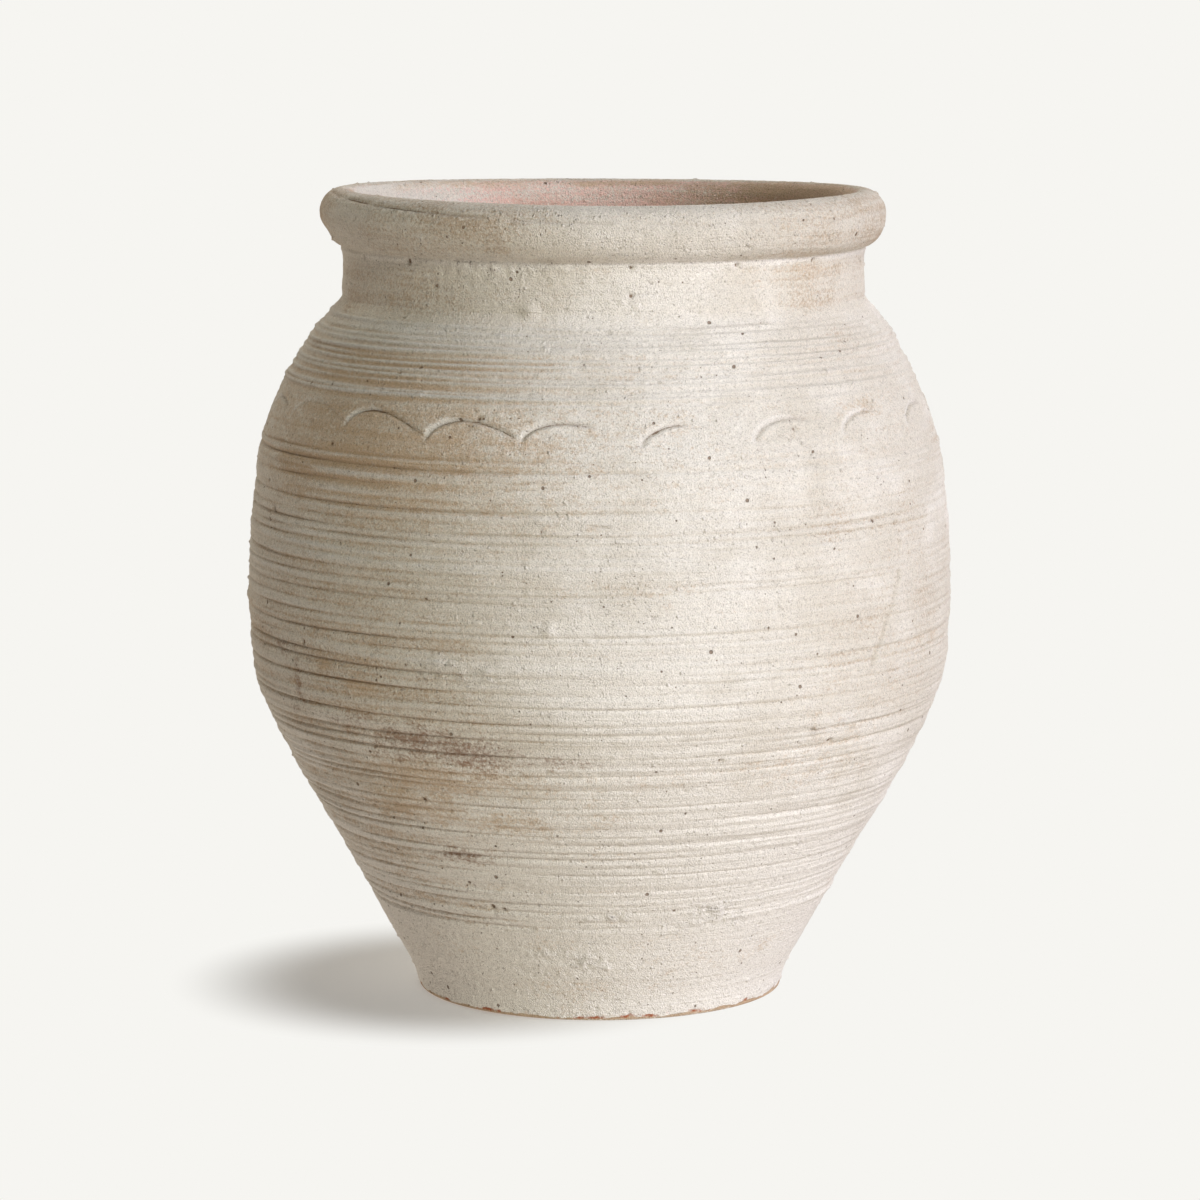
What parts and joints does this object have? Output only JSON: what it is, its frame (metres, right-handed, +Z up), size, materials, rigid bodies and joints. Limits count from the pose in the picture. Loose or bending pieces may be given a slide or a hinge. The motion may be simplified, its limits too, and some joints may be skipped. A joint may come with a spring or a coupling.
{
  "type": "clay jar",
  "caption": "Wide-mouthed thrown clay jar with a rolled rim, a short neck, a ridged swelling body and a narrow flat foot. Open at the top, for storing, planting or display.",
  "frame": {"origin": "centre of the flat underside that the jar stands on", "axes": "+Z is up along the axis of turning, towards the mouth; +X is to the right and +Y away from the viewer in the picture"},
  "size_m": [0.3974, 0.3974, 0.45],
  "materials": {
    "washed_clay": "dry matt chalky wash over coarse fired clay",
    "bare_clay": "dry matt coarse fired clay"
  },
  "bodies": {
    "root": {"floor_disc": "bare_clay", "foot_wall": "washed_clay", "lower_wall": "washed_clay", "hip_wall": "washed_clay", "belly_wall": "washed_clay", "upper_belly_wall": "washed_clay", "shoulder_wall": "washed_clay", "neck_collar": "washed_clay", "rim_roll": "washed_clay"}
  },
  "joints": []
}
